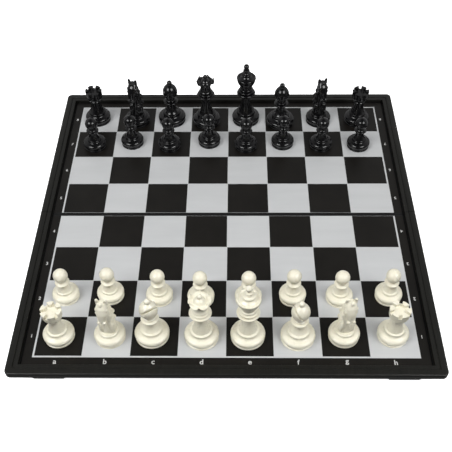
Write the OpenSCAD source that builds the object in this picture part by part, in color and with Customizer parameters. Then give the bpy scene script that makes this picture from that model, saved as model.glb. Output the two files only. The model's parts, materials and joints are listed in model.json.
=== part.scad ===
// Folding travel chess set: a two-leaf board with storage in the hollow underside, and 32 men.
// Millimetres. Origin: centre of the board at the level it stands on. +Z up, +Y from White to Black.

/* [Board] */
// side of one square
pitch = 35.5; // [20:0.1:60]
// overall width of the rim along X
board_x = 320.8; // [200:0.1:500]
// overall depth of the rim along Y
board_y = 323.2; // [200:0.1:500]
// outside corner radius of the rim
corner_r = 4; // [2:0.5:8]
// half of the unprinted strip between the two leaves
seam_lip = 1.9; // [1:0.1:4]
// half of the gap between the leaves
leaf_gap = 0.2; // [0.1:0.05:0.5]
// height of the playing surface
surface_z = 20.5; // [16:0.5:30]
// height of the rim above the playing surface
rim_height = 3.3; // [2:0.1:6]
// width of the rim
rim_w = 8.8; // [6:0.1:12]
// width of the lower inside band of the rim
rim_step_w = 3.6; // [1:0.1:5]
// depth of that band below the top of the rim
rim_step_h = 0.4; // [0.2:0.1:1]
// height of the rim's outer edge
skirt_h = 5.2; // [4.5:0.1:6]
// gap between the sheet and the rim
sheet_gap = 1.5; // [0.5:0.1:2]
// wall thickness of the trays
wall = 2; // [1.2:0.1:3]
// distance from the rim's edge to the tray's outer wall
tray_inset = 9.4; // [8:0.1:12]
// corner radius of the trays
tray_r = 4; // [3.5:0.5:8]

/* [Hinge] */
// height of the hinge axis, which is also the plane where the leaves meet when closed
axis_z = 2.5; // [2:0.1:4]
// outside radius of the knuckles
knuckle_r = 2.5; // [2:0.1:4]
// radius of the hinge pins
pin_r = 1.0; // [0.6:0.05:1.5]
// running clearance of a pin in its knuckles
pin_clear = 0.05; // [0.02:0.01:0.1]
// length of one knuckle
knuckle_len = 8; // [5:0.5:15]
// distance of each hinge from the middle of the board
hinge_x = 112; // [60:1:130]

/* [Feet] */
// thickness of the rubber pads
pad_h = 0.8; // [0.4:0.1:2]
// length of a foot along X
foot_len = 24; // [12:1:40]
// thickness of a foot along Y
foot_w = 3.7; // [2.5:0.1:6]
// feet of the front leaf, distance from the middle
front_foot_x = 134; // [100:1:136]
// feet of the back leaf, distance from the middle
back_foot_x = 104; // [60:1:108]

/* [Men] */
// king height in squares
king_h = 1.71; // [1.68:0.01:2.2]
// queen height in squares
queen_h = 1.46; // [1.41:0.01:2]
// bishop height in squares
bishop_h = 1.24; // [1.2:0.01:1.8]
// knight height in squares
knight_h = 1.33; // [1.28:0.01:1.8]
// rook height in squares
rook_h = 0.94; // [0.9:0.01:1.6]
// pawn height in squares
pawn_h = 0.87; // [0.82:0.01:1.3]
// base radius of king, queen and bishop in squares
big_r = 0.368; // [0.25:0.001:0.45]
// base radius of knight and rook in squares
mid_r = 0.333; // [0.25:0.001:0.45]
// base radius of pawn in squares
small_r = 0.297; // [0.2:0.001:0.4]
// radius of the magnet in each base
magnet_r = 5; // [3:0.1:7]
// thickness of the magnet
magnet_h = 2; // [1:0.1:4]

/* [Hidden] */
$fn = 96;
P = pitch;
half_x = board_x / 2;
half_y = board_y / 2;
recess_x = half_x - rim_w;
recess_y = half_y - rim_w;
sheet_x = recess_x - sheet_gap;
sheet_y = recess_y - sheet_gap;
sheet_t = 0.3;
print_t = 0.1;
groove_d = 1.1;
deck_top = surface_z - sheet_t;
deck_bot = deck_top - 2;
tray_x = half_x - tray_inset;
tray_y = half_y - tray_inset;
ledge = 3.4;
wall_bot = axis_z + 0.2;
rim_top = surface_z + rim_height;
rim_bot = rim_top - skirt_h;
skirt_t = 1.6;
// outer face of the feet, measured in from the outer face of the tray
front_foot_set = 0.6;
back_foot_set = wall + 0.3;
relief_r = knuckle_r + 0.3;
line_w = 1.15;
field_x = 4 * P + line_w;
field_y = 4 * P + seam_lip + line_w;
gap_k = 0.3;
black_plastic = [0.06, 0.06, 0.06];
printed_black = [0.15, 0.14, 0.12];
steel = [0.75, 0.76, 0.77];
rubber = [0.1, 0.1, 0.1];
ivory = [0.93, 0.91, 0.84];
ebony = [0.05, 0.05, 0.06];

// radius of the arc that is upright at its top and runs out by a over a height b
function flare(a, b) = (a * a + b * b) / (2 * a);
function file_x(i) = (i - 3.5) * P;
function rank_y(j) = (j - 3.5) * P + sign(j - 3.5) * seam_lip;

// ---------- board ----------
module slab(x0, x1, y0, y1, z0, z1) {
  translate([x0, y0, z0])
    cube([x1 - x0, y1 - y0, z1 - z0]);
}

// places something for the back leaf (side 1) or mirrored for the front leaf (side -1)
module leaf(side) {
  if (side > 0) {
    children();
  } else {
    mirror([0, 1, 0])
      children();
  }
}

// start of knuckle k (0 to 4) of the hinge centred at cx
function knuckle_x(cx, k) = cx + (k - 2.5) * (knuckle_len + gap_k) + gap_k / 2;

module along_x(x, r, len) {
  translate([x, 0, axis_z])
    rotate([0, 90, 0])
      cylinder(r = r, h = len);
}

// first = 0: knuckles 0, 2 and 4; first = 1: knuckles 1 and 3
module knuckles(first, r, extra) {
  for (cx = [-hinge_x, hinge_x])
    for (k = [first : 2 : 4])
      along_x(knuckle_x(cx, k) - extra, r, knuckle_len + 2 * extra);
}

// a plate with rounded corners, from z0 to z1
module rounded_plate(hx, hy, r, z0, z1) {
  translate([0, 0, z0])
    linear_extrude(height = z1 - z0)
      union() {
        square([2 * (hx - r), 2 * hy], center = true);
        square([2 * hx, 2 * (hy - r)], center = true);
        for (sx = [-1, 1])
          for (sy = [-1, 1])
            translate([sx * (hx - r), sy * (hy - r)])
              circle(r = r);
      }
}

// what lies beyond the seam, on the other leaf's side
module other_leaf() {
  slab(-half_x - 1, half_x + 1, -half_y - 1, leaf_gap, -1, rim_top + 1);
}

// walls of the storage tray
module tray_walls() {
  difference() {
    rounded_plate(tray_x, tray_y, tray_r, wall_bot, deck_bot + 1);
    rounded_plate(tray_x - wall, tray_y - wall, tray_r - wall, wall_bot - 1, deck_bot + 2);
    other_leaf();
  }
  slab(-tray_x, tray_x, leaf_gap, leaf_gap + wall, wall_bot, deck_bot + 1);
}

// foot_x and foot_set place the feet; notch_x places notches for the other leaf's feet, 0 for none
module tray_body(foot_x, foot_set, notch_x) {
  foot_y = tray_y - foot_set;
  difference() {
    union() {
      // deck that carries the sheet, with a ledge under the rim
      slab(-tray_x - ledge, tray_x + ledge, leaf_gap, tray_y + ledge, deck_bot, deck_top);
      // lip beside the seam, level with the sheet
      slab(-sheet_x, sheet_x, leaf_gap, seam_lip, deck_bot, surface_z);
      tray_walls();
      // stiffening ribs under the deck
      for (i = [-1 : 1])
        slab(i * 2 * P - 0.7, i * 2 * P + 0.7, leaf_gap + 1, tray_y - 1, deck_bot - 1.5, deck_bot + 1);
      slab(-tray_x + 1, tray_x - 1, 2 * P - 0.7, 2 * P + 0.7, deck_bot - 1.5, deck_bot + 1);
      // feet, which reach into the other leaf when the board is closed
      for (s = [-1, 1]) {
        slab(s * foot_x - foot_len / 2, s * foot_x + foot_len / 2,
          foot_y - foot_w, foot_y, pad_h, deck_bot + 1);
        slab(s * foot_x - foot_len / 2, s * foot_x + foot_len / 2,
          foot_y - foot_w, tray_y - wall / 2, wall_bot, deck_bot + 1);
      }
    }
    // groove around the sheet
    for (s = [-1, 1])
      slab(s > 0 ? sheet_x : -recess_x, s > 0 ? recess_x : -sheet_x, 0, recess_y,
        deck_top - groove_d, deck_top + 1);
    slab(-recess_x, recess_x, sheet_y, recess_y, deck_top - groove_d, deck_top + 1);
    // notches for the other leaf's feet
    if (notch_x > 0)
      for (s = [-1, 1])
        slab(s * notch_x - foot_len / 2 - 0.6, s * notch_x + foot_len / 2 + 0.6,
          tray_y - wall - 1, tray_y + 1, wall_bot - 1, 2 * axis_z + 0.4);
    // finger notch in the outer wall, for pulling the leaves apart
    translate([0, tray_y, wall_bot])
      rotate([90, 0, 0])
        cylinder(r = 9, h = 4 * wall, center = true);
  }
}

module back_tray() {
  color(black_plastic)
    difference() {
      union() {
        difference() {
          tray_body(back_foot_x, back_foot_set, front_foot_x);
          knuckles(1, relief_r, gap_k / 2);
        }
        knuckles(0, knuckle_r, 0);
      }
      for (cx = [-hinge_x, hinge_x])
        along_x(cx - 30, pin_r + pin_clear, 60);
    }
}

module front_tray() {
  color(black_plastic)
    difference() {
      union() {
        difference() {
          leaf(-1)
            tray_body(front_foot_x, front_foot_set, 0);
          knuckles(0, relief_r, gap_k / 2);
        }
        knuckles(1, knuckle_r, 0);
      }
      for (cx = [-hinge_x, hinge_x])
        along_x(cx - 30, pin_r + pin_clear, 60);
    }
}

module rim_half() {
  difference() {
    rounded_plate(half_x, half_y, corner_r, rim_bot, rim_top);
    // playing field
    slab(-recess_x, recess_x, -half_y, recess_y, rim_bot - 1, rim_top + 1);
    // lower inside band
    slab(-recess_x - rim_step_w, recess_x + rim_step_w, -half_y, recess_y + rim_step_w,
      rim_top - rim_step_h, rim_top + 1);
    // seat on the deck, open behind the skirt
    rounded_plate(half_x - skirt_t, half_y - skirt_t, corner_r - skirt_t, rim_bot - 1, deck_top);
    other_leaf();
  }
}

module back_rim() {
  color(black_plastic)
    rim_half();
}

module front_rim() {
  color(black_plastic)
    leaf(-1)
      rim_half();
}

// printed border on the three outer sides of a leaf
module border_flat() {
  difference() {
    translate([-sheet_x, seam_lip + 0.05])
      square([2 * sheet_x, sheet_y - seam_lip - 0.05]);
    translate([-field_x, 0])
      square([2 * field_x, field_y]);
  }
}

// the sixteen dark squares of a leaf; first is its lowest rank index
module squares_flat(first) {
  for (j = [first : first + 3])
    for (i = [0 : 7])
      if ((i + j) % 2 == 0)
        translate([file_x(i), rank_y(j)])
          square([P - 0.36, P - 0.36], center = true);
}

module print_flat(side) {
  leaf(side)
    border_flat();
  squares_flat(side > 0 ? 4 : 0);
}

module print_half(side) {
  color(printed_black)
    translate([0, 0, surface_z - print_t])
      linear_extrude(height = print_t)
        print_flat(side);
}

module sheet_half(side) {
  color(steel)
    difference() {
      leaf(side)
        slab(-sheet_x, sheet_x, seam_lip + 0.05, sheet_y, deck_top, surface_z);
      translate([0, 0, surface_z - print_t])
        linear_extrude(height = 1)
          print_flat(side);
    }
}

module back_sheet() {
  sheet_half(1);
}

module front_sheet() {
  sheet_half(-1);
}

module back_print() {
  print_half(1);
}

module front_print() {
  print_half(-1);
}

module hinge_pin(cx) {
  color(steel)
    along_x(cx - 2.5 * (knuckle_len + gap_k), pin_r, 5 * (knuckle_len + gap_k));
}

module left_hinge_pin() {
  hinge_pin(-hinge_x);
}

module right_hinge_pin() {
  hinge_pin(hinge_x);
}

module foot_pad(x, side, foot_set) {
  foot_y = tray_y - foot_set;
  color(rubber)
    leaf(side)
      slab(x - foot_len / 2 + 0.5, x + foot_len / 2 - 0.5,
        foot_y - foot_w + 0.2, foot_y - 0.2, 0, pad_h);
}

module back_left_foot() {
  foot_pad(-back_foot_x, 1, back_foot_set);
}

module back_right_foot() {
  foot_pad(back_foot_x, 1, back_foot_set);
}

module front_left_foot() {
  foot_pad(-front_foot_x, -1, front_foot_set);
}

module front_right_foot() {
  foot_pad(front_foot_x, -1, front_foot_set);
}

// ---------- men: half profiles that are turned about Z ----------
// disc of radius r and thickness t with a rounded edge, centred at height z
module bead(r, z, t) {
  translate([0, z - t / 2])
    square([r - t / 2, t]);
  translate([r - t / 2, z])
    circle(r = t / 2);
}

// foot lip, fat bulge and cove up to a shoulder ring
module base_profile(R, ring_r, ring_z) {
  cove = ring_z - 7.45;
  square([R - 0.4, 1.1]);
  square([R - 1, 4]);
  translate([R - 2.8, 4.15])
    circle(r = 2.8);
  square([R - 2.8, 6.95]);
  difference() {
    square([ring_r + cove, ring_z - 0.5]);
    translate([ring_r + cove, ring_z - 0.5])
      circle(r = cove);
  }
  square([ring_r, ring_z - 0.5]);
  bead(ring_r + 0.35, ring_z, 1.5);
}

// concave stem from radius r0 at z0 up to radius r1 at z1
module stem_profile(r0, z0, r1, z1) {
  rad = flare(r0 - r1, z1 - z0);
  difference() {
    translate([0, z0])
      square([r0, z1 - z0]);
    translate([r1 + rad, z1])
      circle(r = rad);
  }
}

// cup whose outside swells from radius r0 at z0 to radius r1 at z1
module cup_profile(r0, z0, r1, z1) {
  rad = flare(r1 - r0, z1 - z0);
  intersection() {
    translate([0, z0])
      square([r1, z1 - z0]);
    translate([r1 - rad, z1])
      circle(r = rad);
  }
}

// pointed egg: widest radius R at z, with arcs of radius R + c, cut off at low and high
module egg_profile(R, c, z, low, high) {
  intersection() {
    translate([-c, z])
      circle(r = R + c);
    translate([0, low])
      square([R, high - low]);
  }
}

module turned(R) {
  difference() {
    rotate_extrude()
      intersection() {
        children();
        square([R, 3 * P]);
      }
    // seat of the magnet
    translate([0, 0, -1])
      cylinder(r = magnet_r + 0.1, h = 1 + 0.2 + magnet_h + 0.1);
  }
}

module magnet() {
  translate([0, 0, 0.2])
    cylinder(r = magnet_r, h = magnet_h);
}

module pawn() {
  R = small_r * P;
  turned(R) {
    union() {
      base_profile(R, 6.2, 8.9);
      stem_profile(5.6, 9.4, 3.4, 0.49 * P);
      square([3.1, 0.62 * P]);
      bead(5.6, 0.505 * P, 1.5);
      stem_profile(4.5, 0.52 * P, 3.1, 0.57 * P);
      intersection() {
        translate([0, (pawn_h - 0.157) * P])
          circle(r = 0.157 * P);
        square([P, P]);
      }
    }
  }
  magnet();
}

module rook() {
  R = mid_r * P;
  head_r = 0.21 * P;
  difference() {
    turned(R) {
      union() {
        base_profile(R, 7.5, 10);
        stem_profile(6.6, 10.4, 4.3, 0.62 * P);
        square([4.3, 0.7 * P]);
        bead(5.4, 0.635 * P, 1.4);
        cup_profile(4.4, 0.65 * P, head_r, 0.79 * P);
        translate([0, 0.785 * P])
          square([head_r, (rook_h - 0.785) * P]);
      }
    }
    // well in the top
    translate([0, 0, (rook_h - 0.085) * P])
      cylinder(r = head_r - 2.2, h = P);
    // six gaps between the merlons
    for (k = [0 : 2])
      rotate([0, 0, 60 * k])
        translate([-P / 2, -1.4, (rook_h - 0.075) * P])
          cube([P, 2.8, P]);
  }
  magnet();
}

module bishop() {
  R = big_r * P;
  egg_z = 0.91 * P;
  difference() {
    turned(R) {
      union() {
        base_profile(R, 8.0, 9.9);
        stem_profile(7.0, 10.4, 3.4, 0.56 * P);
        square([3.4, 0.75 * P]);
        bead(4.8, 0.565 * P, 1.4);
        bead(6.7, 0.62 * P, 1.5);
        bead(5.0, 0.675 * P, 1.4);
        stem_profile(4.5, 0.68 * P, 3.8, 0.74 * P);
        square([3.8, 0.8 * P]);
        egg_profile(0.192 * P, 1.8, egg_z, 0.71 * P, 1.15 * P);
        intersection() {
          translate([0, (bishop_h - 0.066) * P])
            circle(r = 0.066 * P);
          square([P, 2 * P]);
        }
      }
    }
    // slanted cut across the mitre
    rotate([0, 0, 35])
      translate([0, 0.4, egg_z - 1.4])
        rotate([-52, 0, 0])
          translate([-P / 2, -P / 2, -0.8])
            cube([P, P / 2, 1.6]);
  }
  magnet();
}

module queen() {
  R = big_r * P;
  tip_z = 1.335 * P;
  low_z = 1.1 * P;
  lean = flare(3.7, tip_z - low_z);
  difference() {
    turned(R) {
      union() {
        base_profile(R, 8.3, 10.4);
        stem_profile(7.2, 10.8, 3.6, 0.8 * P);
        square([3.6, 0.9 * P]);
        bead(5.6, 0.815 * P, 1.5);
        bead(8.3, 0.87 * P, 1.7);
        bead(7.1, 0.93 * P, 1.6);
        bead(6.0, 0.99 * P, 1.6);
        square([4.7, low_z + 1]);
        stem_profile(5.8, 0.99 * P, 4.7, low_z + 0.4);
        // outside of the coronet leans out towards its tips
        difference() {
          translate([0, low_z])
            square([8.4, tip_z - low_z]);
          translate([4.7 + lean, low_z])
            circle(r = lean);
          translate([6.3, tip_z + 0.6])
            circle(r = 2.1);
          translate([0, tip_z - 1.5])
            square([6.3, 3]);
        }
        // dome and ball
        intersection() {
          translate([0, tip_z - 4])
            circle(r = 5);
          translate([0, tip_z - 3])
            square([P, P]);
        }
        square([1.1, (queen_h - 0.05) * P]);
        intersection() {
          translate([0, (queen_h - 0.055) * P])
            circle(r = 0.055 * P);
          square([P, 2 * P]);
        }
      }
    }
    // six scallops leave six pointed tips
    for (k = [0 : 5])
      rotate([0, 0, 60 * k])
        translate([5.2, 0, tip_z + 0.6])
          rotate([0, 90, 0])
            cylinder(r = 3.6, h = P);
  }
  magnet();
}

module king() {
  R = big_r * P;
  rim_z = 1.33 * P;
  turned(R) {
    union() {
      base_profile(R, 8.3, 10.4);
      stem_profile(7.2, 10.8, 3.6, 0.8 * P);
      square([3.6, 0.9 * P]);
      bead(5.6, 0.815 * P, 1.5);
      bead(8.6, 0.87 * P, 1.7);
      bead(7.3, 0.935 * P, 1.6);
      bead(6.2, 1.0 * P, 1.6);
      square([5.2, 1.2 * P]);
      cup_profile(5.4, 1.1 * P, 8.6, rim_z - 0.7);
      bead(8.9, rim_z - 0.5, 1.5);
      // dished top and stepped finial
      difference() {
        translate([0, rim_z - 2])
          square([8.1, 2.6]);
        translate([6.8, rim_z + 1.6])
          circle(r = 1.8);
      }
      stem_profile(5.4, rim_z + 0.7, 3.8, 1.42 * P);
      bead(4.8, 1.435 * P, 1.1);
      stem_profile(3.6, 1.435 * P, 1.9, 1.525 * P);
      bead(3.0, 1.54 * P, 1.0);
      square([1.2, 1.63 * P]);
      intersection() {
        translate([0, (king_h - 0.07) * P])
          circle(r = 0.07 * P);
        square([P, 2 * P]);
      }
    }
  }
  magnet();
}

// side view of the knight above its base, nose towards -Y (drawn as x = y, y = z)
module knight_side() {
  difference() {
    union() {
      polygon([[-5.8, 9], [-6.6, 13], [-6.2, 17.5], [-4.6, 21.5], [-3.4, 24.7], [-5.2, 25.3],
        [-7.6, 25.3], [-8.7, 27.3], [-8.3, 30.4], [-7.2, 34], [-5.9, 38.4], [-4.6, 42.2], [-3.6, 44.2],
        [-2.5, knight_h * P], [-1.4, 44.9], [0.2, 43.3], [3.2, 40.7], [5.7, 35.7], [7.2, 29],
        [7.8, 22], [7.2, 15], [6.2, 9]]);
    }
    // mouth
    translate([-9.4, 26.6])
      rotate(14)
        square([3.4, 0.7]);
  }
}

// front view of the knight
module knight_front() {
  polygon([[-6.2, 9], [-5.9, 15], [-5.2, 20], [-4.1, 25.1], [-3.5, 29.6], [-3.4, 35.1], [-3.3, 39.5],
    [-3.4, 42.9], [-3.1, knight_h * P + 1], [-2, knight_h * P + 1], [-0.9, 43.2], [0.9, 43.2],
    [2, knight_h * P + 1], [3.1, knight_h * P + 1], [3.4, 42.9], [3.3, 39.5], [3.4, 35.1], [3.5, 29.6],
    [4.1, 25.1], [5.2, 20], [5.9, 15], [6.2, 9]]);
}

module knight() {
  R = mid_r * P;
  turned(R) {
    union() {
      base_profile(R, 7.2, 9.0);
      square([6.6, 10.3]);
    }
  }
  intersection() {
    translate([20, 0, 0])
      rotate([90, 0, -90])
        linear_extrude(height = 40)
          mirror([1, 0, 0])
            knight_side();
    translate([0, 20, 0])
      rotate([90, 0, 0])
        linear_extrude(height = 40)
          knight_front();
  }
  // eyes
  translate([-3.7, -4.3, 36.2])
    rotate([0, 90, 0])
      cylinder(r = 0.9, h = 7.4);
  magnet();
}

// stands a man on file i and rank j, moved off the middle of its square by dx and dy, turned by a
module stand(i, j, dx, dy, a = 0) {
  translate([file_x(i) + dx, rank_y(j) + dy, surface_z])
    rotate([0, 0, a])
      children();
}

module white_rook_a() {
  color(ivory)
    stand(0, 0, -1.1, 0.1, 12)
      rook();
}

module white_knight_b() {
  color(ivory)
    stand(1, 0, 1.8, -0.2, -28)
      knight();
}

module white_bishop_c() {
  color(ivory)
    stand(2, 0, -2.1, 1.2)
      bishop();
}

module white_queen_d() {
  color(ivory)
    stand(3, 0, -0.4, -0.2)
      queen();
}

module white_king_e() {
  color(ivory)
    stand(4, 0, -1.4, 0.1)
      king();
}

module white_bishop_f() {
  color(ivory)
    stand(5, 0, 0.4, -0.6, -120)
      bishop();
}

module white_knight_g() {
  color(ivory)
    stand(6, 0, -0.7, 0.9, 28)
      knight();
}

module white_rook_h() {
  color(ivory)
    stand(7, 0, 0.4, 1.2, 20)
      rook();
}

module white_pawn_a() {
  color(ivory)
    stand(0, 1, -1.4, 2.3)
      pawn();
}

module white_pawn_b() {
  color(ivory)
    stand(1, 1, -1.8, 3.3)
      pawn();
}

module white_pawn_c() {
  color(ivory)
    stand(2, 1, 1.1, 1.6)
      pawn();
}

module white_pawn_d() {
  color(ivory)
    stand(3, 1, -2.1, 0.1)
      pawn();
}

module white_pawn_e() {
  color(ivory)
    stand(4, 1, -0.7, 0.1)
      pawn();
}

module white_pawn_f() {
  color(ivory)
    stand(5, 1, -1.8, 1.9)
      pawn();
}

module white_pawn_g() {
  color(ivory)
    stand(6, 1, -1.1, 0.9)
      pawn();
}

module white_pawn_h() {
  color(ivory)
    stand(7, 1, 1.8, 2.6)
      pawn();
}

module black_rook_a() {
  color(ebony)
    stand(0, 7, -1.8, 0.9, 30)
      rook();
}

module black_knight_b() {
  color(ebony)
    stand(1, 7, 1.1, -1.6, -18)
      knight();
}

module black_bishop_c() {
  color(ebony)
    stand(2, 7, -1.1, 0.2, 200)
      bishop();
}

module black_queen_d() {
  color(ebony)
    stand(3, 7, -3.2, -2.3, 45)
      queen();
}

module black_king_e() {
  color(ebony)
    stand(4, 7, -1.1, 0.6)
      king();
}

module black_bishop_f() {
  color(ebony)
    stand(5, 7, -3.5, -4.0, 160)
      bishop();
}

module black_knight_g() {
  color(ebony)
    stand(6, 7, -2.5, -0.9, 14)
      knight();
}

module black_rook_h() {
  color(ebony)
    stand(7, 7, -1.1, -0.9, 30)
      rook();
}

module black_pawn_a() {
  color(ebony)
    stand(0, 6, -0.4, -1.9)
      pawn();
}

module black_pawn_b() {
  color(ebony)
    stand(1, 6, -1.1, 2.0)
      pawn();
}

module black_pawn_c() {
  color(ebony)
    stand(2, 6, -1.4, -2.3)
      pawn();
}

module black_pawn_d() {
  color(ebony)
    stand(3, 6, 0, 3.1)
      pawn();
}

module black_pawn_e() {
  color(ebony)
    stand(4, 6, -1.1, -3.0)
      pawn();
}

module black_pawn_f() {
  color(ebony)
    stand(5, 6, -2.5, 0.9)
      pawn();
}

module black_pawn_g() {
  color(ebony)
    stand(6, 6, -2.5, -1.9)
      pawn();
}

module black_pawn_h() {
  color(ebony)
    stand(7, 6, -3.2, -1.9)
      pawn();
}

// ---------- output ----------
back_tray();
front_tray();
back_rim();
front_rim();
back_sheet();
front_sheet();
back_print();
front_print();
left_hinge_pin();
right_hinge_pin();
back_left_foot();
back_right_foot();
front_left_foot();
front_right_foot();
white_rook_a();
white_knight_b();
white_bishop_c();
white_queen_d();
white_king_e();
white_bishop_f();
white_knight_g();
white_rook_h();
white_pawn_a();
white_pawn_b();
white_pawn_c();
white_pawn_d();
white_pawn_e();
white_pawn_f();
white_pawn_g();
white_pawn_h();
black_rook_a();
black_knight_b();
black_bishop_c();
black_queen_d();
black_king_e();
black_bishop_f();
black_knight_g();
black_rook_h();
black_pawn_a();
black_pawn_b();
black_pawn_c();
black_pawn_d();
black_pawn_e();
black_pawn_f();
black_pawn_g();
black_pawn_h();
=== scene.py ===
import json
import math

import bmesh
import bpy
from mathutils import Matrix, Vector, noise


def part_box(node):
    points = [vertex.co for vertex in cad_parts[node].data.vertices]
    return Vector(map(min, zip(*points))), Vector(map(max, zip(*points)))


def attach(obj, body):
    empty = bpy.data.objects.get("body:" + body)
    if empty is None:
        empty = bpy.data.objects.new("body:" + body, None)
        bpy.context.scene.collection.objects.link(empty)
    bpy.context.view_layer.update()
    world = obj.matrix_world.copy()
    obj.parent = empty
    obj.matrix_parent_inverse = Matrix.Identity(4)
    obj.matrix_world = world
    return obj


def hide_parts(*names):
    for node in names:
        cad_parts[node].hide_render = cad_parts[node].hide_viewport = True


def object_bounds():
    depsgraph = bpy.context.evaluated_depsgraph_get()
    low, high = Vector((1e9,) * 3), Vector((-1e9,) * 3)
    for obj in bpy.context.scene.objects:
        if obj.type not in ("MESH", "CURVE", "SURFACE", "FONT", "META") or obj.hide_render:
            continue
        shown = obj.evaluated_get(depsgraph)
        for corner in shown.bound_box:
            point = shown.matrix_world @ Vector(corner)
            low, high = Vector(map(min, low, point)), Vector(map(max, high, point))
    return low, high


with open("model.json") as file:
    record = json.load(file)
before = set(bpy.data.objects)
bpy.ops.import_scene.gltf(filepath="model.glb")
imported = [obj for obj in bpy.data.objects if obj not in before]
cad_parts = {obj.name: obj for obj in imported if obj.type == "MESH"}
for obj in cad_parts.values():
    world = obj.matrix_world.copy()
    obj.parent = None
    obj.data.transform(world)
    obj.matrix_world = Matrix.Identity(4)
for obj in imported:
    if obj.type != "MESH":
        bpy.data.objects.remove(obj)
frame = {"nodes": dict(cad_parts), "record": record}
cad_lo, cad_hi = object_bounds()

MM = 0.001
PITCH = 35.5          # one square, mm
SEAM_LIP = 1.9        # half of the plain strip along the hinge, mm
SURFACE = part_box("back_print")[1].z
nodes = frame["nodes"]
node_body = {n: b for b, ns in frame["record"]["behaviour"]["bodies"].items() for n in ns}


# ------------------------------------------------------------------ materials
class Shader:
    """A Principled material with a few shorthands for its procedural nodes."""

    def __init__(self, name, **sockets):
        self.mat = bpy.data.materials.new(name)
        self.mat.use_nodes = True
        self.tree = self.mat.node_tree
        self.bsdf = self.tree.nodes["Principled BSDF"]
        for key, value in sockets.items():
            self.set(key, value)

    def set(self, key, value):
        name = key.replace("_", " ")
        names = {s.name.lower(): s for s in self.bsdf.inputs}
        names[name.lower()].default_value = value

    def node(self, kind, **values):
        made = self.tree.nodes.new(kind)
        for key, value in values.items():
            if hasattr(made, key):
                setattr(made, key, value)
            else:
                made.inputs[key].default_value = value
        return made

    def link(self, a, b):
        self.tree.links.new(a, b)

    def coords(self, scale):
        coord = self.node("ShaderNodeTexCoord")
        mapping = self.node("ShaderNodeMapping")
        mapping.inputs["Scale"].default_value = scale
        self.link(coord.outputs["Object"], mapping.inputs["Vector"])
        return mapping.outputs["Vector"]

    def noise(self, scale, detail=3.0, stretch=(1, 1, 1), roughness=0.55):
        tex = self.node("ShaderNodeTexNoise")
        tex.inputs["Scale"].default_value = scale
        tex.inputs["Detail"].default_value = detail
        tex.inputs["Roughness"].default_value = roughness
        self.link(self.coords(stretch), tex.inputs["Vector"])
        return tex.outputs["Fac"]

    def ramp(self, fac, stops):
        ramp = self.node("ShaderNodeValToRGB")
        while len(ramp.color_ramp.elements) < len(stops):
            ramp.color_ramp.elements.new(0.5)
        for element, (pos, colour) in zip(ramp.color_ramp.elements, stops):
            element.position = pos
            element.color = (*colour, 1)
        self.link(fac, ramp.inputs["Fac"])
        return ramp.outputs["Color"]

    def spread(self, fac, low, high, start=0.3, end=0.7):
        rng = self.node("ShaderNodeMapRange")
        for key, value in (("From Min", start), ("From Max", end), ("To Min", low), ("To Max", high)):
            rng.inputs[key].default_value = value
        self.link(fac, rng.inputs["Value"])
        return rng.outputs["Result"]

    def colour(self, output):
        self.link(output, self.bsdf.inputs["Base Color"])

    def rough(self, output):
        self.link(output, self.bsdf.inputs["Roughness"])

    def bump(self, fac, strength, distance):
        bump = self.node("ShaderNodeBump")
        bump.inputs["Strength"].default_value = strength
        bump.inputs["Distance"].default_value = distance
        self.link(fac, bump.inputs["Height"])
        self.link(bump.outputs["Normal"], self.bsdf.inputs["Normal"])
        return bump


def ivory_plastic():
    s = Shader("ivory_plastic", ior=1.46, subsurface_weight=0.05, subsurface_scale=0.002)
    s.set("subsurface radius", (1.0, 0.8, 0.5))
    s.colour(s.ramp(s.noise(90, 3), ((0.3, (0.75, 0.715, 0.575)), (0.7, (0.80, 0.77, 0.64)))))
    s.rough(s.spread(s.noise(260, 4), 0.24, 0.36))
    s.bump(s.noise(900, 2), 0.06, 0.0002)
    return s.mat


def ebony_plastic():
    s = Shader("ebony_plastic", ior=1.5, specular_ior_level=0.4)
    s.colour(s.ramp(s.noise(80, 3), ((0.3, (0.003, 0.003, 0.0033)), (0.7, (0.005, 0.005, 0.0055)))))
    s.rough(s.spread(s.noise(300, 4), 0.12, 0.2))
    s.bump(s.noise(700, 2), 0.04, 0.0002)
    return s.mat


def rim_plastic():
    s = Shader("rim_plastic", ior=1.48, specular_ior_level=0.35)
    streaks = s.noise(60, 5, (22, 0.8, 22))
    s.colour(s.ramp(streaks, ((0.3, (0.006, 0.006, 0.005)), (0.7, (0.011, 0.0107, 0.009)))))
    s.rough(s.spread(s.noise(60, 4, (14, 0.7, 14)), 0.30, 0.46))
    s.bump(s.noise(60, 4, (26, 0.8, 26)), 0.12, 0.0002)
    return s.mat


def tray_plastic():
    s = Shader("tray_plastic", ior=1.48, specular_ior_level=0.3)
    s.colour(s.ramp(s.noise(140, 4), ((0.3, (0.005, 0.005, 0.005)), (0.7, (0.009, 0.009, 0.009)))))
    s.rough(s.spread(s.noise(500, 3), 0.42, 0.6))
    s.bump(s.noise(2200, 2), 0.25, 0.0003)
    return s.mat


def silver_sheet():
    s = Shader("silver_sheet", metallic=0.25)
    s.colour(s.ramp(s.noise(16, 4, (1, 6, 1)), ((0.3, (0.565, 0.575, 0.58)), (0.7, (0.61, 0.62, 0.625)))))
    s.rough(s.spread(s.noise(700, 4), 0.36, 0.46))
    s.bump(s.noise(2600, 3), 0.10, 0.0001)
    return s.mat


def black_print():
    s = Shader("black_print", ior=1.45, specular_ior_level=0.3)
    s.colour(s.ramp(s.noise(45, 5), ((0.3, (0.0055, 0.0048, 0.004)), (0.7, (0.0085, 0.0075, 0.0063)))))
    s.rough(s.spread(s.noise(400, 4), 0.34, 0.44))
    s.bump(s.noise(1800, 3), 0.12, 0.0001)
    return s.mat


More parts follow.
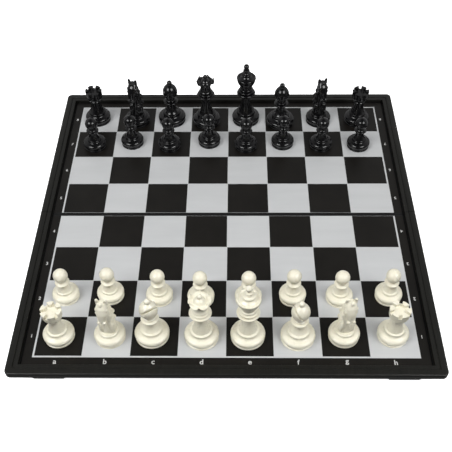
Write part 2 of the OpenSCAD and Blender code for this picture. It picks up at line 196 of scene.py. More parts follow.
def hinge_steel():
    s = Shader("hinge_steel", metallic=1.0)
    s.colour(s.ramp(s.noise(300, 3, (0.2, 8, 8)), ((0.3, (0.48, 0.48, 0.49)), (0.7, (0.62, 0.62, 0.63)))))
    s.rough(s.spread(s.noise(500, 3, (0.2, 8, 8)), 0.22, 0.4))
    s.bump(s.noise(900, 2, (0.2, 6, 6)), 0.1, 0.0002)
    return s.mat


def foot_rubber():
    s = Shader("foot_rubber", ior=1.45, specular_ior_level=0.3)
    s.colour(s.ramp(s.noise(400, 4), ((0.3, (0.018, 0.018, 0.018)), (0.7, (0.03, 0.03, 0.03)))))
    s.rough(s.spread(s.noise(700, 3), 0.75, 0.9))
    s.bump(s.noise(1500, 3), 0.4, 0.0005)
    return s.mat


def white_ink():
    s = Shader("white_ink")
    s.colour(s.ramp(s.noise(900, 3), ((0.3, (0.50, 0.50, 0.49)), (0.7, (0.60, 0.60, 0.59)))))
    s.rough(s.spread(s.noise(800, 3), 0.4, 0.55))
    return s.mat


def magnet_metal():
    s = Shader("magnet_metal", metallic=1.0)
    s.colour(s.ramp(s.noise(200, 4), ((0.3, (0.20, 0.20, 0.21)), (0.7, (0.32, 0.32, 0.33)))))
    s.rough(s.spread(s.noise(400, 3), 0.35, 0.5))
    s.bump(s.noise(1200, 3), 0.2, 0.0003)
    return s.mat


IVORY, EBONY = ivory_plastic(), ebony_plastic()
RIM, TRAY, SILVER, PRINT = rim_plastic(), tray_plastic(), silver_sheet(), black_print()
STEEL, RUBBER, INK, MAGNET = hinge_steel(), foot_rubber(), white_ink(), magnet_metal()


def dress(node, material, bevel=0.0, segments=2):
    obj = nodes[node]
    obj.data.materials.clear()
    obj.data.materials.append(material)
    if bevel:
        weld = obj.modifiers.new("weld", "WELD")
        weld.merge_threshold = 1e-6
        round_ = obj.modifiers.new("round", "BEVEL")
        round_.width = bevel
        round_.segments = segments
        round_.limit_method = "ANGLE"
        round_.angle_limit = math.radians(35)
        round_.harden_normals = False
    return obj


for side in ("back", "front"):
    dress(side + "_tray", TRAY, 0.0003)
    dress(side + "_sheet", SILVER)
    dress(side + "_print", PRINT)
    for hand in ("left", "right"):
        dress(f"{side}_{hand}_foot", RUBBER, 0.0002)
for hand in ("left", "right"):
    dress(hand + "_hinge_pin", STEEL)


# ------------------------------------------------------------------ rims
SHEET_GAP = 1.5       # between the sheet and the rim
CORNER = 4.0          # outside corner radius
SKIRT = 1.6           # wall thickness of the outer edge
BAND = 3.6            # width of the lower inside band
STEP_DOWN = 0.4       # its depth below the top
CREASE = 0.3          # depth of the crease at the foot of the step


def quarter(cx, cz, r, start, count=5):
    """Quarter circle of (inset, height) points that turns clockwise from the angle start."""
    angles = [math.radians(start - 90 * i / count) for i in range(count + 1)]
    return [(cx + r * math.cos(a), cz + r * math.sin(a)) for a in angles]


def rim_profile(width, low, seat, top):
    """Closed outline of the moulding: distance in from the outer edge, and height, in mm."""
    step = width - BAND
    band = top - STEP_DOWN
    return ([(0.4, low), (0.1, low + 0.1), (0.0, low + 0.4)] + quarter(1.0, top - 1.0, 1.0, 180)
            + quarter(step - 0.3, top - 0.3, 0.3, 90, 3)
            + [(step + 0.08, band - CREASE), (step + 0.4, band - CREASE), (step + 0.65, band)]
            + quarter(width - 0.5, band - 0.5, 0.5, 90, 4) + [(width, seat), (SKIRT, seat), (SKIRT, low)])


def rim_mesh(side):
    lo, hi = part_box(side + "_rim")
    half_x = hi.x / MM
    half_y = max(hi.y, -lo.y) / MM
    start = min(abs(lo.y), abs(hi.y)) / MM
    width = half_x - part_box(side + "_sheet")[1].x / MM - SHEET_GAP
    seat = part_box(side + "_sheet")[0].z / MM
    bm = bmesh.new()
    columns = []
    for inset, z in rim_profile(width, lo.z / MM, seat, hi.z / MM):
        column = [(inset - half_x, start)]
        for turn in (180, 90):
            centre = half_x - CORNER if turn == 90 else CORNER - half_x
            for i in range(11):
                a = math.radians(turn - 9 * i)
                r = CORNER - inset
                if r > 0:
                    column.append((centre + r * math.cos(a), half_y - CORNER + r * math.sin(a)))
                else:
                    column.append((math.copysign(half_x - inset, centre), half_y - inset))
        column.append((half_x - inset, start))
        sign = 1 if side == "back" else -1
        columns.append([bm.verts.new((x * MM, sign * y * MM, z * MM)) for x, y in column])
    for one, two in zip(columns, columns[1:] + columns[:1]):
        for k in range(len(one) - 1):
            bm.faces.new((one[k], one[k + 1], two[k + 1], two[k]))
    for k in (0, -1):
        bm.faces.new([column[k] for column in columns])
    bmesh.ops.remove_doubles(bm, verts=bm.verts[:], dist=1e-6)
    bmesh.ops.dissolve_degenerate(bm, edges=bm.edges[:], dist=1e-6)
    return bm


# ------------------------------------------------------------------ turned men
# Half profiles in mm: each shape gives its outer radius at height z, or 0 outside its own span.
def block(r, low, high):
    return lambda z: r if low <= z <= high else 0.0


def ring(r, mid, thick):
    """A disc of radius r with a round edge."""
    h = thick / 2
    return lambda z: r - h + math.sqrt(max(h * h - (z - mid) ** 2, 0)) if abs(z - mid) <= h else 0.0


def torus(centre, mid, h):
    return lambda z: centre + math.sqrt(max(h * h - (z - mid) ** 2, 0)) if abs(z - mid) <= h else 0.0


def arc_radius(a, b):
    return (a * a + b * b) / (2 * a)


def stem(r0, z0, r1, z1):
    """Concave: wide at z0, upright and narrow at z1."""
    rad = arc_radius(r0 - r1, z1 - z0)
    return lambda z: r1 + rad - math.sqrt(max(rad * rad - (z1 - z) ** 2, 0)) if z0 <= z <= z1 else 0.0


def spread_out(r0, z0, r1, z1):
    """Concave: upright and narrow at z0, wide at z1."""
    rad = arc_radius(r1 - r0, z1 - z0)
    return lambda z: r0 + rad - math.sqrt(max(rad * rad - (z - z0) ** 2, 0)) if z0 <= z <= z1 else 0.0


def cup(r0, z0, r1, z1):
    """Convex: narrow at z0, upright and wide at z1."""
    rad = arc_radius(r1 - r0, z1 - z0)
    return lambda z: r1 - rad + math.sqrt(max(rad * rad - (z1 - z) ** 2, 0)) if z0 <= z <= z1 else 0.0


def cove(r, c, low):
    """Quarter-round hollow of radius c that ends at radius r."""
    def radius(z):
        if not low - c <= z <= low:
            return 0.0
        return r + c - math.sqrt(max(c * c - (low - z) ** 2, 0))
    return radius


def egg(r, c, mid, low, high):
    def radius(z):
        if not low <= z <= high:
            return 0.0
        return max(math.sqrt(max((r + c) ** 2 - (z - mid) ** 2, 0)) - c, 0.0)
    return radius


def foot_of(r, ring_r, ring_z):
    """Foot lip, groove, fat bulge, cove and shoulder ring, as on every man."""
    c = ring_z - 7.45
    low = ring_z - 0.5
    return [block(r - 0.4, 0, 1.1), block(r - 1.0, 0, 4), torus(r - 2.8, 4.15, 2.8),
            block(r - 2.8, 0, 6.95), block(ring_r + c, 0, max(low - c, 0.1)),
            lambda z: ring_r + c - math.sqrt(max(c * c - (low - z) ** 2, 0)) if low - c <= z <= low else 0.0,
            ring(ring_r + 0.35, ring_z, 1.5)]


def simplify(points, tolerance):
    keep = [True] + [False] * (len(points) - 2) + [True]
    spans = [(0, len(points) - 1)]
    while spans:
        a, b = spans.pop()
        if b - a < 2:
            continue
        (x0, y0), (x1, y1) = points[a], points[b]
        length = math.hypot(x1 - x0, y1 - y0) or 1e-9
        worst, at = 0.0, None
        for i in range(a + 1, b):
            x, y = points[i]
            off = abs((x1 - x0) * (y - y0) - (y1 - y0) * (x - x0)) / length
            if off > worst:
                worst, at = off, i
        if worst > tolerance:
            keep[at] = True
            spans += [(a, at), (at, b)]
    return [p for p, k in zip(points, keep) if k]


STEP = 0.05      # sampling of a profile along Z, mm
SOFTEN = 0.16    # how far its corners are rounded, mm


def outline(shapes, low, high):
    """Outside of the stacked shapes as (radius, z) points, with slightly softened corners."""
    count = int(round((high - low) / STEP)) + 1
    raw = [max(s(low + i * STEP) for s in shapes) for i in range(count)]
    span = max(int(SOFTEN / STEP), 1)
    out = []
    for i in range(count):
        near = raw[max(i - span, 0):i + span + 1]
        out.append((sum(near) / len(near), low + i * STEP))
    out[0] = (raw[0] - 0.15, low)
    return simplify(out, 0.012)


def arc_points(cx, cz, r, start, end, count):
    return [(cx + r * math.cos(math.radians(start + (end - start) * i / count)),
             cz + r * math.sin(math.radians(start + (end - start) * i / count))) for i in range(count + 1)]


UNDER = [(0.0, 2.3), (5.0, 2.3), (5.1, 2.2), (5.1, 0.15), (5.25, 0.0)]


def lathe(bm, points, segments=72, lift=None):
    """Turns (radius, z) points about Z. lift(angle, index) may add to z, for a scalloped edge."""
    rows = []
    for index, (r, z) in enumerate(points):
        if r < 1e-6:
            rows.append([bm.verts.new((0, 0, z * MM))])
            continue
        row = []
        for k in range(segments):
            a = 2 * math.pi * k / segments
            up = lift(a, index) if lift else 0.0
            row.append(bm.verts.new((r * math.cos(a) * MM, r * math.sin(a) * MM, (z + up) * MM)))
        rows.append(row)
    for low, high in zip(rows, rows[1:]):
        for k in range(segments):
            n = (k + 1) % segments
            if len(low) == 1 and len(high) == 1:
                continue
            if len(low) == 1:
                bm.faces.new((low[0], high[n], high[k]))
            elif len(high) == 1:
                bm.faces.new((low[k], low[n], high[0]))
            else:
                bm.faces.new((low[k], low[n], high[n], high[k]))


def finished(bm, name, smooth_angle=32):
    bmesh.ops.recalc_face_normals(bm, faces=bm.faces[:])
    for face in bm.faces:
        face.smooth = True
    for edge in bm.edges:
        if len(edge.link_faces) == 2 and edge.calc_face_angle(0) > math.radians(smooth_angle):
            edge.smooth = False
    mesh = bpy.data.meshes.new(name)
    bm.to_mesh(mesh)
    bm.free()
    return mesh


for side in ("back", "front"):
    moulding = bpy.data.objects.new(side + "_rim_moulding", finished(rim_mesh(side), side + "_rim_moulding", 28))
    moulding.data.materials.append(RIM)
    bpy.context.scene.collection.objects.link(moulding)
    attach(moulding, side + "_leaf")
    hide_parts(side + "_rim")


P = PITCH
HEIGHT = {"king": 1.71 * P, "queen": 1.46 * P, "bishop": 1.24 * P, "knight": 1.33 * P, "rook": 0.94 * P, "pawn": 0.87 * P}
BIG, MID, SMALL = 0.368 * P, 0.333 * P, 0.297 * P


def pawn_mesh():
    h, ball = HEIGHT["pawn"], 0.157 * P
    shapes = foot_of(SMALL, 6.2, 8.9) + [
        stem(5.6, 9.4, 3.4, 0.49 * P), block(3.1, 8, 0.62 * P), ring(5.6, 0.505 * P, 1.5),
        stem(4.5, 0.52 * P, 3.1, 0.57 * P), egg(ball, 0, h - ball, h - 2 * ball, h)]
    bm = bmesh.new()
    lathe(bm, UNDER + outline(shapes, 0, h - 0.1) + [(0.0, h)])
    return finished(bm, "pawn")


def rook_mesh():
    h, head = HEIGHT["rook"], 0.21 * P
    floor = h - 0.085 * P
    sill = h - 0.075 * P
    shapes = foot_of(MID, 7.5, 10) + [
        stem(6.6, 10.4, 4.3, 0.62 * P), block(4.3, 8, 0.7 * P), ring(5.4, 0.635 * P, 1.4),
        cup(4.4, 0.65 * P, head, 0.79 * P), block(head, 0.785 * P, sill)]
    inner = head - 2.9
    bm = bmesh.new()
    lathe(bm, UNDER + outline(shapes, 0, sill - 0.1)
          + [(inner + 0.1, sill - 0.05), (inner, sill - 0.15), (inner - 0.3, floor), (0.0, floor)])
    # six merlons, each a rounded sector of the ring
    gap = 2.6
    for k in range(6):
        mid = math.radians(60 * k + 30)
        cols = []
        steps = 8
        for i in range(steps + 1):
            t = 2 * i / steps - 1
            ring_points = []
            for r in (inner, head):
                half = math.radians(30) - math.asin(gap / 2 / r)
                a = mid + t * half
                for z in (sill - 0.7, h):
                    wide = r + (0.25 if r == head and z == h else 0.0)
                    ring_points.append(bm.verts.new((wide * math.cos(a) * MM, wide * math.sin(a) * MM, z * MM)))
            cols.append(ring_points)
        made = []
        for a, b in zip(cols, cols[1:]):
            for i, j in ((0, 1), (1, 3), (3, 2), (2, 0)):
                made.append(bm.faces.new((a[i], a[j], b[j], b[i])))
        made.append(bm.faces.new((cols[0][0], cols[0][2], cols[0][3], cols[0][1])))
        made.append(bm.faces.new((cols[-1][0], cols[-1][1], cols[-1][3], cols[-1][2])))
        sharp = {e for f in made for e in f.edges if e.calc_face_angle(0) > math.radians(40)}
        bmesh.ops.bevel(bm, geom=list(sharp), offset=0.75 * MM, segments=3, profile=0.5, affect="EDGES")
    return finished(bm, "rook")


def bishop_mesh():
    h = HEIGHT["bishop"]
    mid = 0.91 * P
    shapes = foot_of(BIG, 8.0, 9.9) + [
        stem(7.0, 10.4, 3.4, 0.56 * P), block(3.4, 8, 0.75 * P), ring(4.8, 0.565 * P, 1.4),
        ring(6.7, 0.62 * P, 1.5), ring(5.0, 0.675 * P, 1.4), stem(4.5, 0.68 * P, 3.8, 0.74 * P),
        block(3.8, 8, 0.8 * P), egg(0.192 * P, 1.8, mid, 0.71 * P, 1.15 * P),
        egg(0.066 * P, 0, h - 0.066 * P, h - 0.132 * P, h)]
    bm = bmesh.new()
    lathe(bm, UNDER + outline(shapes, 0, h - 0.06) + [(0.0, h)])
    mesh = finished(bm, "bishop")
    # slanted cut across the mitre
    cut = bmesh.new()
    bmesh.ops.create_cube(cut, size=1)
    place = (Matrix.Rotation(math.radians(35), 4, "Z") @ Matrix.Translation((0, 0.4 * MM, (mid - 1.4) * MM))
             @ Matrix.Rotation(math.radians(-52), 4, "X")
             @ Matrix.Translation((0, -P / 4 * MM, 0)) @ Matrix.Diagonal((P * MM, P / 2 * MM, 1.6 * MM, 1)))
    cut.transform(place)
    return carved(mesh, finished(cut, "bishop_cut"))


def carved(mesh, cutter):
    body = bpy.data.objects.new("carve_body", mesh)
    tool = bpy.data.objects.new("carve_tool", cutter)
    for o in (body, tool):
        bpy.context.scene.collection.objects.link(o)
    mod = body.modifiers.new("cut", "BOOLEAN")
    mod.operation, mod.solver, mod.object = "DIFFERENCE", "EXACT", tool
    dg = bpy.context.evaluated_depsgraph_get()
    out = bpy.data.meshes.new_from_object(body.evaluated_get(dg))
    out.name = mesh.name
    for o in (body, tool):
        bpy.data.objects.remove(o)
    return out


def queen_mesh():
    h, tip = HEIGHT["queen"], 1.335 * P
    low = 1.1 * P
    shapes = foot_of(BIG, 8.3, 10.4) + [
        stem(7.2, 10.8, 3.6, 0.8 * P), block(3.6, 8, 0.9 * P), ring(5.6, 0.815 * P, 1.5),
        ring(8.3, 0.87 * P, 1.7), ring(7.1, 0.93 * P, 1.6), ring(6.0, 0.99 * P, 1.6),
        block(4.7, 30, low + 1), stem(5.8, 0.99 * P, 4.7, low + 0.4), spread_out(4.7, low, 4.7 + 2.1, tip - 3.0)]
    start = tip - 3.2
    wall = outline(shapes, 0, start)
    first = len(UNDER) + len(wall)
    rim = [(6.85, tip - 2.9), (7.25, tip - 2.0), (7.7, tip - 1.1), (8.15, tip - 0.35), (8.3, tip - 0.1), (8.2, tip),
           (8.0, tip - 0.05), (7.6, tip - 0.5), (7.0, tip - 1.4), (6.5, tip - 2.2)]
    inside = [(5.8, tip - 2.9), (5.1, tip - 3.1), (4.6, tip - 2.6)]
    dome = [(r, z) for r, z in arc_points(0, tip - 4, 4.7, 20, 70, 9)]
    ball_r, ball_z = 0.055 * P, h - 0.055 * P
    ball = arc_points(0, ball_z, ball_r, -55, 84, 14) + [(0.0, h)]
    points = UNDER + wall + rim + inside + dome + ball
    weight = {first + i: w for i, w in enumerate((0.0, 0.25, 0.6, 0.9, 1.0, 1.0, 1.0, 0.8, 0.45, 0.1))}
    reach = 8.2 * math.sin(math.radians(30)) - 0.2

    def scallop(angle, index):
        share = weight.get(index, 0.0)
        if not share:
            return 0.0
        off = (math.degrees(angle) + 30) % 60 - 30
        s = 8.2 * math.sin(math.radians(off))
        return -share * 2.9 * math.sqrt(max(1 - (s / reach) ** 2, 0)) if abs(s) < reach else 0.0

    bm = bmesh.new()
    lathe(bm, points, 144, scallop)
    return finished(bm, "queen", 50)


def king_mesh():
    h, rim = HEIGHT["king"], 1.33 * P
    shapes = foot_of(BIG, 8.3, 10.4) + [
        stem(7.2, 10.8, 3.6, 0.8 * P), block(3.6, 8, 0.9 * P), ring(5.6, 0.815 * P, 1.5),
        ring(8.6, 0.87 * P, 1.7), ring(7.3, 0.935 * P, 1.6), ring(6.2, 1.0 * P, 1.6),
        block(5.2, 30, 1.2 * P), cup(5.4, 1.1 * P, 8.6, rim - 0.7), ring(8.9, rim - 0.5, 1.5)]
    top = [(8.0, rim + 0.42), (7.6, rim + 0.1), (7.0, rim - 0.18), (6.3, rim - 0.15), (5.8, rim + 0.2), (5.3, rim + 0.8)]
    above = [stem(5.4, rim + 0.7, 3.8, 1.42 * P), ring(4.8, 1.435 * P, 1.1), stem(3.6, 1.435 * P, 1.9, 1.525 * P),
             ring(3.0, 1.54 * P, 1.0), block(1.2, 1.4 * P, 1.63 * P), egg(0.07 * P, 0, h - 0.07 * P, h - 0.14 * P, h)]
    bm = bmesh.new()
    lathe(bm, UNDER + outline(shapes, 0, rim + 0.2) + top + outline(above, rim + 0.9, h - 0.06)[1:] + [(0.0, h)])
    return finished(bm, "king")


# ------------------------------------------------------------------ knight
def loft(bm, sections, around=28):
    """Closed tube through (centre, half width, half depth, tilt, power) sections in mm."""
    rows = []
    for centre, wide, deep, tilt, power in sections:
        turn = Matrix.Rotation(math.radians(tilt), 3, "X")
        row = []
        for k in range(around):
            a = 2 * math.pi * k / around
            c, s = math.cos(a), math.sin(a)
            x = wide * math.copysign(abs(c) ** (2 / power), c)
            y = deep * math.copysign(abs(s) ** (2 / power), s)
            row.append(bm.verts.new((Vector(centre) + turn @ Vector((x, y, 0))) * MM))
        rows.append(row)
    for low, high in zip(rows, rows[1:]):
        for k in range(around):
            n = (k + 1) % around
            bm.faces.new((low[k], low[n], high[n], high[k]))
    bm.faces.new(list(reversed(rows[0])))
    bm.faces.new(rows[-1])


def blob(bm, centre, radii, tilt=0):
    place = (Matrix.Translation(Vector(centre) * MM) @ Matrix.Rotation(math.radians(tilt), 4, "X")
             @ Matrix.Diagonal((radii[0] * MM, radii[1] * MM, radii[2] * MM, 1)))
    bmesh.ops.create_icosphere(bm, subdivisions=3, radius=1, matrix=place)


def knight_mesh():
    h = HEIGHT["knight"]
    bm = bmesh.new()
    neck = [((0, 0.6, 9), 6.0, 5.6, 0, 2.4), ((0, 1.2, 13), 5.6, 5.2, 0, 2.4), ((0, 1.8, 17), 5.3, 4.9, 0, 2.3),
            ((0, 2.4, 21), 4.9, 4.7, 0, 2.2), ((0, 2.6, 25), 4.2, 4.4, 0, 2.2), ((0, 2.4, 29), 3.6, 4.0, 0, 2.2),
            ((0, 1.7, 33), 3.3, 3.9, 0, 2.2), ((0, 0.7, 37), 3.3, 3.8, 0, 2.2), ((0, -0.3, 41), 3.5, 3.3, 0, 2.2),
            ((0, -0.7, 44), 3.2, 2.4, 0, 2.1)]
    loft(bm, neck)
    face = [((0, -0.8, 42.6), 3.8, 2.6, 150, 2.2), ((0, -2.6, 38.8), 4.5, 3.7, 152, 2.3), ((0, -4.4, 34.4), 4.2, 3.6, 153, 2.4),
            ((0, -5.6, 30.8), 3.4, 2.9, 154, 2.4), ((0, -6.2, 28.4), 3.5, 2.6, 155, 2.5), ((0, -6.5, 26.8), 2.9, 1.9, 156, 2.4)]
    loft(bm, face)
    blob(bm, (0, -2.9, 43.2), (1.3, 1.5, 2.0))
    # mane: thick locks one above the other
    for y, z, wide in ((5.8, 19.0, 5.3), (6.4, 25.0, 4.9), (5.0, 30.8, 3.6), (3.2, 35.8, 3.0), (1.5, 40.4, 2.7)):
        blob(bm, (0, y, z), (wide, 2.0, 3.2), 20)
    for s in (-1, 1):
        loft(bm, [((s * 2.5, -0.6, 41.5), 1.6, 1.7, 0, 2.0), ((s * 3.0, -0.8, 44.3), 1.45, 1.4, 0, 2.0),
                  ((s * 3.2, -1.0, h - 1.2), 1.35, 1.2, 0, 2.0), ((s * 3.2, -1.1, h - 0.05), 1.0, 0.9, 0, 2.0)], 16)
        # shoulders either side of a hollow throat
        blob(bm, (s * 3.7, -2.0, 15.0), (2.3, 2.8, 6.0))
        blob(bm, (s * 2.9, -3.0, 33.8), (1.8, 2.8, 3.2))
        blob(bm, (s * 3.9, -3.6, 39.0), (1.1, 1.6, 1.0), 35)
        blob(bm, (s * 3.9, -4.8, 36.4), (0.95, 1.0, 0.95))
        blob(bm, (s * 2.0, -8.4, 28.9), (1.4, 1.2, 1.4))
    mesh = bpy.data.meshes.new("knight_rough")
    bm.to_mesh(mesh)
    bm.free()
    rough = bpy.data.objects.new("knight_rough", mesh)
    bpy.context.scene.collection.objects.link(rough)
    skin = rough.modifiers.new("skin", "REMESH")
    skin.mode, skin.voxel_size = "VOXEL", 0.00036
    soft = rough.modifiers.new("soft", "SMOOTH")
    soft.factor, soft.iterations = 0.5, 5
    dg = bpy.context.evaluated_depsgraph_get()
    out = bpy.data.meshes.new_from_object(rough.evaluated_get(dg))
    bpy.data.objects.remove(rough)
    bm = bmesh.new()
    bm.from_mesh(out)
    bm.normal_update()
    moves = []
    for v in bm.verts:
        x, y, z = v.co / MM
        push = 0.0
        # mane: slanting locks down the back of the neck
        start = -0.6 if z < 32 else -0.6 - 0.2 * (z - 32)
        crest = max(0.0, min(1.0, (y - start) / 1.6)) * max(0.0, min(1.0, (z - 12) / 3)) * max(0.0, min(1.0, (44.5 - z) / 2))
        if crest:
            wave = math.sin(2 * math.pi * (z + 0.9 * abs(x) - 0.5 * y) / 3.9)
            push += crest * (0.35 - 1.0 * (0.5 - 0.5 * wave) ** 2)
            push -= crest * 0.35 * math.exp(-(x / 0.45) ** 2)
        # mouth line and nostrils
        along = (y + 9.4) * 0.93 + (z - 27.2) * 0.36
        across = -(y + 9.4) * 0.36 + (z - 27.2) * 0.93
        if -1.5 < along < 4.2 and abs(across) < 1.2:
            push -= 0.55 * math.exp(-(across / 0.32) ** 2) * max(0.0, 1 - max(0.0, along) / 4.2)
        for s in (-1, 1):
            d = (Vector((x, y, z)) - Vector((s * 2.4, -9.6, 28.7))).length
            push -= 0.5 * math.exp(-(d / 0.55) ** 2)
            e = (Vector((x, y, z)) - Vector((s * 3.9, -4.3, 35.2))).length
            push -= 0.28 * math.exp(-(e / 0.7) ** 2)
        # hollow of each ear
        if z > 42.5:
            for s in (-1, 1):
                d = math.hypot((x - s * 3.25) / 0.8, (z - 45.0) / 1.5)
                if y < -1.0:
                    push -= 0.45 * math.exp(-d * d)
        if push:
            moves.append((v, v.normal * push * MM))
    for v, move in moves:
        v.co += move
    for v in bm.verts:
        if v.co.z > h * MM:
            v.co.z = h * MM
    r = MID
    shapes = foot_of(r, 7.2, 9.0) + [block(6.6, 8, 10.2)]
    lathe(bm, UNDER + outline(shapes, 0, 10.2) + [(6.3, 10.3), (0.0, 10.3)])
    return finished(bm, "knight", 60)


def magnet_mesh():
    bm = bmesh.new()
    lathe(bm, [(0.0, 0.2), (4.75, 0.2), (5.0, 0.35), (5.0, 2.0), (4.8, 2.2), (0.0, 2.2)], 48)
    return finished(bm, "magnet")


MESHES = {"pawn": pawn_mesh(), "rook": rook_mesh(), "bishop": bishop_mesh(), "queen": queen_mesh(),
          "king": king_mesh(), "knight": knight_mesh()}
MAGNET_MESH = magnet_mesh()
MAGNET_MESH.materials.append(MAGNET)
TURN = {"white_rook_a": 12, "white_knight_b": -8, "white_bishop_f": -120, "white_knight_g": 8, "white_rook_h": 20,
        "black_rook_a": 30, "black_knight_b": -18, "black_bishop_c": 200, "black_queen_d": 45, "black_bishop_f": 160,
        "black_knight_g": 14, "black_rook_h": 30}


def base_centre(node):
    """Middle of the ring of vertices that the man stands on."""
    verts = [v.co for v in nodes[node].data.vertices]
    low = min(v.z for v in verts)
    foot = [v for v in verts if v.z < low + 1e-5]
    xs, ys = [v.x for v in foot], [v.y for v in foot]
    return Vector(((min(xs) + max(xs)) / 2, (min(ys) + max(ys)) / 2, low))


def coloured(kind, colour):
    name = f"{kind}_{colour}"
    if name not in bpy.data.meshes:
        mesh = MESHES[kind].copy()
        mesh.name = name
        mesh.materials.clear()
        mesh.materials.append(IVORY if colour == "white" else EBONY)
    return bpy.data.meshes[name]


for node in sorted(nodes):
    colour, *rest = node.split("_")
    if colour not in ("white", "black"):
        continue
    spot = base_centre(node)
    man = bpy.data.objects.new(node + "_man", coloured(rest[0], colour))
    disc = bpy.data.objects.new(node + "_magnet", MAGNET_MESH)
    for obj in (man, disc):
        bpy.context.scene.collection.objects.link(obj)
        obj.location = spot
        obj.rotation_euler.z = math.radians(TURN.get(node, 0))
        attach(obj, node_body[node])
    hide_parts(node)


# ------------------------------------------------------------------ coordinates on the border
def ink(text, x, y, height, body, turn=0, low_at=None):
    """A printed character, its own height in mm, centred at x and at y, whatever low_at is."""
    data = bpy.data.curves.new("ink_" + text, "FONT")
    data.body = text
    data.size = 1
    data.offset = 0.012
    data.resolution_u = 6
    data.extrude = 0.005
    obj = bpy.data.objects.new("ink_tmp", data)
    bpy.context.scene.collection.objects.link(obj)
    dg = bpy.context.evaluated_depsgraph_get()
    mesh = bpy.data.meshes.new_from_object(obj.evaluated_get(dg))
    bpy.data.objects.remove(obj)
    xs = [v.co.x for v in mesh.vertices]
    ys = [v.co.y for v in mesh.vertices]
    mid = Vector(((min(xs) + max(xs)) / 2, (min(ys) + max(ys)) / 2, -0.005))
    scale = height / (max(ys) - min(ys)) * MM
    base = -mid.y + min(ys) if low_at is not None else 0
    mesh.transform(Matrix.Translation((x * MM, y * MM, SURFACE)) @ Matrix.Rotation(math.radians(turn), 4, "Z")
                   @ Matrix.Diagonal((scale, scale, 0.00004 / 0.01, 1)) @ Matrix.Translation(-mid))
    made = bpy.data.objects.new(f"ink_{text}_{'left' if x < 0 else 'right'}", mesh)
    mesh.materials.clear()
    mesh.materials.append(INK)
    bpy.context.scene.collection.objects.link(made)
    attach(made, body)
    return made


def rank_y(j):
    return (j - 3.5) * P + math.copysign(SEAM_LIP, j - 3.5)


HEIGHTS = {"a": 3.0, "b": 4.2, "c": 3.0, "d": 4.2, "e": 3.0, "f": 4.2, "g": 4.0, "h": 4.2}
BASELINE = -150.75
for i, letter in enumerate("abcdefgh"):
    tall = HEIGHTS[letter]
    ink(letter, (i - 3.5) * P - (1.4 if i == 0 else 0), BASELINE + tall / 2, tall, "front_leaf")
for j in range(8):
    body = "back_leaf" if j > 3 else "front_leaf"
    ink(str(j + 1), -4.13 * P, rank_y(j), 3.0, body)
    ink(str(j + 1), 4.13 * P, rank_y(j), 3.0, body, 180)


# ------------------------------------------------------------------ floor, light and camera
def stage_material():
    s = Shader("floor_paper", roughness=0.9)
    s.colour(s.ramp(s.noise(3, 2), ((0.3, (0.86, 0.86, 0.86)), (0.7, (0.88, 0.88, 0.88)))))
    s.set("emission color", (1, 1, 1, 1))
    s.set("emission strength", 0.9)
    return s.mat


bm = bmesh.new()
bmesh.ops.create_grid(bm, x_segments=1, y_segments=1, size=6)
floor_mesh = bpy.data.meshes.new("floor")
bm.to_mesh(floor_mesh)
bm.free()
floor_mesh.materials.append(stage_material())
floor = bpy.data.objects.new("floor", floor_mesh)
bpy.context.scene.collection.objects.link(floor)
floor.location.z = cad_lo.z - 0.0002
floor.visible_diffuse = False
floor.visible_glossy = False

# bright at the back and sides, dim overhead and on the camera's side
world = bpy.data.worlds.new("studio")
bpy.context.scene.world = world
world.use_nodes = True
sky = world.node_tree
background = sky.nodes["Background"]
coord = sky.nodes.new("ShaderNodeTexCoord")
split = sky.nodes.new("ShaderNodeSeparateXYZ")
side_way = sky.nodes.new("ShaderNodeMath")
side_way.operation = "ABSOLUTE"
lean = sky.nodes.new("ShaderNodeMath")
lean.operation = "MULTIPLY_ADD"
lean.inputs[1].default_value = -0.5
tone = sky.nodes.new("ShaderNodeValToRGB")
sky.links.new(coord.outputs["Generated"], split.inputs[0])
sky.links.new(split.outputs["X"], side_way.inputs[0])
sky.links.new(side_way.outputs[0], lean.inputs[0])
sky.links.new(split.outputs["Z"], lean.inputs[2])
sky.links.new(lean.outputs[0], tone.inputs["Fac"])
for element, (pos, grey) in zip(tone.color_ramp.elements, ((0.42, 1.0), (0.86, 0.1))):
    element.position = pos
    element.color = (grey, grey, grey, 1)
front = sky.nodes.new("ShaderNodeMapRange")
for key, value in (("From Min", -0.8), ("From Max", 0.25), ("To Min", 0.12), ("To Max", 1.0)):
    front.inputs[key].default_value = value
sky.links.new(split.outputs["Y"], front.inputs["Value"])
dimmed = sky.nodes.new("ShaderNodeVectorMath")
dimmed.operation = "SCALE"
sky.links.new(tone.outputs["Color"], dimmed.inputs[0])
sky.links.new(front.outputs["Result"], dimmed.inputs["Scale"])
sky.links.new(dimmed.outputs[0], background.inputs["Color"])
background.inputs["Strength"].default_value = 0.52


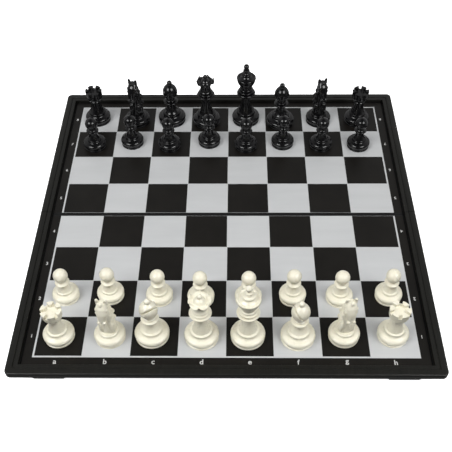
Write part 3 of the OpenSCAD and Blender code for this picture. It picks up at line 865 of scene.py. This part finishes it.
backdrop_mesh = bpy.data.meshes.new("backdrop")
bm = bmesh.new()
bmesh.ops.create_icosphere(bm, subdivisions=4, radius=8)
bm.to_mesh(backdrop_mesh)
bm.free()
backdrop_mesh.materials.append(floor_mesh.materials[0])
backdrop = bpy.data.objects.new("backdrop", backdrop_mesh)
bpy.context.scene.collection.objects.link(backdrop)
backdrop.visible_diffuse = backdrop.visible_glossy = backdrop.visible_shadow = False


def softbox(name, place, size, watts, shine):
    """Area light aimed at the board: shine lights are only seen mirrored, the others only light."""
    data = bpy.data.lights.new(name, "AREA")
    data.shape = "RECTANGLE"
    data.size, data.size_y = size
    data.energy = watts
    obj = bpy.data.objects.new(name, data)
    bpy.context.scene.collection.objects.link(obj)
    obj.location = place
    obj.rotation_euler = (-Vector(place)).to_track_quat("-Z", "Y").to_euler()
    obj.visible_glossy = shine
    obj.visible_diffuse = not shine


for hand, x, watts in (("left", -1, 9.4), ("right", 1, 7.4)):
    softbox("key_" + hand, (0.55 * x, -0.4, 0.95), (0.65, 0.65), watts, False)
    softbox("shine_" + hand, (0.67 * x, -0.6, 0.8), (0.6, 0.5), 9.0, True)

CAMERA_SQUARES = Vector((0.1925, -11.5759, 12.0477))   # from the centre of the playing surface
DOWN, YAW, ROLL = 0.9375, 0.0227, -0.0164              # radians
forward = Vector((-math.sin(YAW) * math.cos(DOWN), math.cos(YAW) * math.cos(DOWN), -math.sin(DOWN)))
flat_right = Vector((math.cos(YAW), math.sin(YAW), 0))
flat_up = flat_right.cross(forward)
right = math.cos(ROLL) * flat_right + math.sin(ROLL) * flat_up
up = right.cross(forward)
camera_data = bpy.data.cameras.new("camera")
camera_data.sensor_width = 36
camera_data.lens = 54.4
camera_data.shift_y = 0.175
camera_data.clip_start, camera_data.clip_end = 0.01, 50
camera = bpy.data.objects.new("camera", camera_data)
bpy.context.scene.collection.objects.link(camera)
camera.matrix_world = (Matrix.Translation(CAMERA_SQUARES * P * MM + Vector((0, 0, SURFACE)))
                       @ Matrix((right, up, -forward)).transposed().to_4x4())
bpy.context.scene.camera = camera
bpy.context.scene.view_settings.view_transform = "Standard"
bpy.context.scene.view_settings.look = "None"
